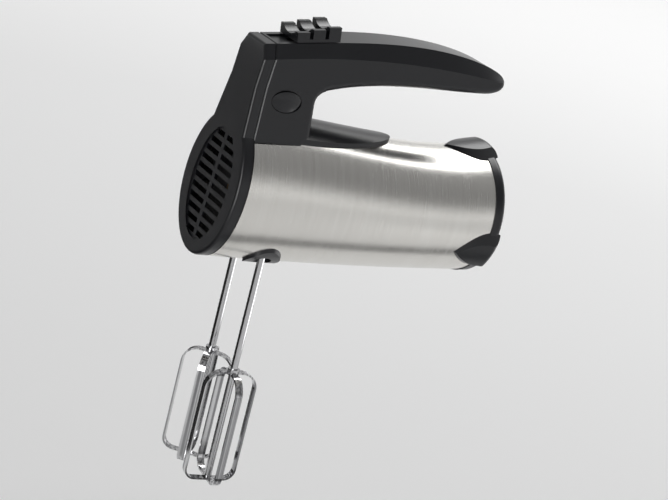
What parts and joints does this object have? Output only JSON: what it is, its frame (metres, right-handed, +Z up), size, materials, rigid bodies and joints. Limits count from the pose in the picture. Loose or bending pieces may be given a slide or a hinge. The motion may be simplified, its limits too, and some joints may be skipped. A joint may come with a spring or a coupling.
{
  "type": "hand mixer",
  "caption": "Hand mixer: brushed steel body, black louvred nose, open handle with a thumb speed slide and a release button, worm drive, and wire-strip beaters that pull out.",
  "frame": {"origin": "middle of the hand grip, where the hand closes round it", "axes": "+Z up along the beater shafts, +X along the motor shaft towards the heel, +Y to the side away from the release button"},
  "size_m": [0.2106, 0.0906, 0.3193],
  "materials": {
    "satin_black": "satin moulded plastic",
    "black_rubber": "matt",
    "brushed_sheet": "brushed round the body",
    "bright_chrome": "bright plated",
    "cast_alloy": "as cast",
    "bronze": "sintered",
    "core_steel": "stacked sheets",
    "copper": "enamelled winding wire and copper bars",
    "carbon": "carbon",
    "turned_steel": "turned",
    "zinc_screw": "zinc plated",
    "white_nylon": "natural nylon",
    "black_nylon": "glass-filled nylon",
    "brown_resin": "moulded resin"
  },
  "bodies": {
    "housing": {"brush_holders": "brown_resin", "brush_springs": "zinc_screw", "cap_screw": "zinc_screw", "carbon_brushes": "carbon", "cord_gland": "black_rubber", "field_coils": "copper", "front_cover": "satin_black", "gear_case": "black_nylon", "gear_case_lid": "black_nylon", "handle_body": "satin_black", "handle_screws": "zinc_screw", "handle_top": "satin_black", "left_socket_collar": "satin_black", "motor_bracket": "cast_alloy", "motor_screws": "zinc_screw", "motor_stator": "core_steel", "rear_bearing": "bronze", "rear_cap": "satin_black", "release_spring": "zinc_screw", "right_socket_collar": "satin_black", "shaft_bushes": "bronze", "speed_switch": "brown_resin", "spindle_bushes": "bronze", "steel_sleeve": "brushed_sheet"},
    "armature": {"armature_shaft": "turned_steel", "worm": "turned_steel", "cooling_fan": "white_nylon", "armature_core": "core_steel", "armature_winding": "copper", "commutator": "copper"},
    "ejector_fork": {"ejector_fork": "white_nylon"},
    "eject_button": {"eject_button": "satin_black"},
    "speed_slide": {"speed_slide": "satin_black"},
    "left_drive": {"left_spindle": "turned_steel", "left_worm_wheel": "white_nylon"},
    "left_ejector": {"left_ejector_pin": "turned_steel"},
    "left_beater": {"left_beater_shaft": "bright_chrome", "left_beater_outer_loop": "bright_chrome", "left_beater_inner_loop": "bright_chrome", "left_beater_hub": "bright_chrome"},
    "right_drive": {"right_spindle": "turned_steel", "right_worm_wheel": "white_nylon"},
    "right_ejector": {"right_ejector_pin": "turned_steel"},
    "right_beater": {"right_beater_shaft": "bright_chrome", "right_beater_outer_loop": "bright_chrome", "right_beater_inner_loop": "bright_chrome", "right_beater_hub": "bright_chrome"}
  },
  "joints": [
    {"name": "motor_spin", "type": "hinge", "parent": "housing", "child": "armature", "pos_m": [-0.08, 0, -0.0985], "axis": [1, 0, 0], "continuous": true},
    {"name": "release_fork", "type": "slide", "parent": "housing", "child": "ejector_fork", "axis": [0, 0, -1], "range_m": [0, 0.005], "stiffness_N_per_m": 800, "springref_m": -0.006, "deforming": ["release_spring"]},
    {"name": "eject_button_press", "type": "slide", "parent": "housing", "child": "eject_button", "axis": [0, 1, 0], "range_m": [0, 0.005]},
    {"name": "speed_select", "type": "slide", "parent": "housing", "child": "speed_slide", "axis": [-0.9921, 0, -0.1251], "range_m": [0, 0.012]},
    {"name": "left_spindle_spin", "type": "hinge", "parent": "housing", "child": "left_drive", "pos_m": [-0.08, -0.018, -0.0985], "axis": [0, 0, 1], "continuous": true},
    {"name": "left_pin_push", "type": "slide", "parent": "left_drive", "child": "left_ejector", "axis": [0, 0, -1], "range_m": [0, 0.005]},
    {"name": "left_beater_pull", "type": "slide", "parent": "left_ejector", "child": "left_beater", "axis": [0, 0, -1], "range_m": [0, 0.045]},
    {"name": "right_spindle_spin", "type": "hinge", "parent": "housing", "child": "right_drive", "pos_m": [-0.08, 0.018, -0.0985], "axis": [0, 0, 1], "continuous": true},
    {"name": "right_pin_push", "type": "slide", "parent": "right_drive", "child": "right_ejector", "axis": [0, 0, -1], "range_m": [0, 0.005]},
    {"name": "right_beater_pull", "type": "slide", "parent": "right_ejector", "child": "right_beater", "axis": [0, 0, -1], "range_m": [0, 0.045]}
  ],
  "couplings": [
    {"joint": "eject_button_press", "follows": "release_fork", "ratio": 1},
    {"joint": "left_spindle_spin", "follows": "motor_spin", "ratio": 0.037037},
    {"joint": "left_pin_push", "follows": "release_fork", "ratio": 1},
    {"joint": "right_spindle_spin", "follows": "motor_spin", "ratio": -0.037037},
    {"joint": "right_pin_push", "follows": "release_fork", "ratio": 1}
  ]
}
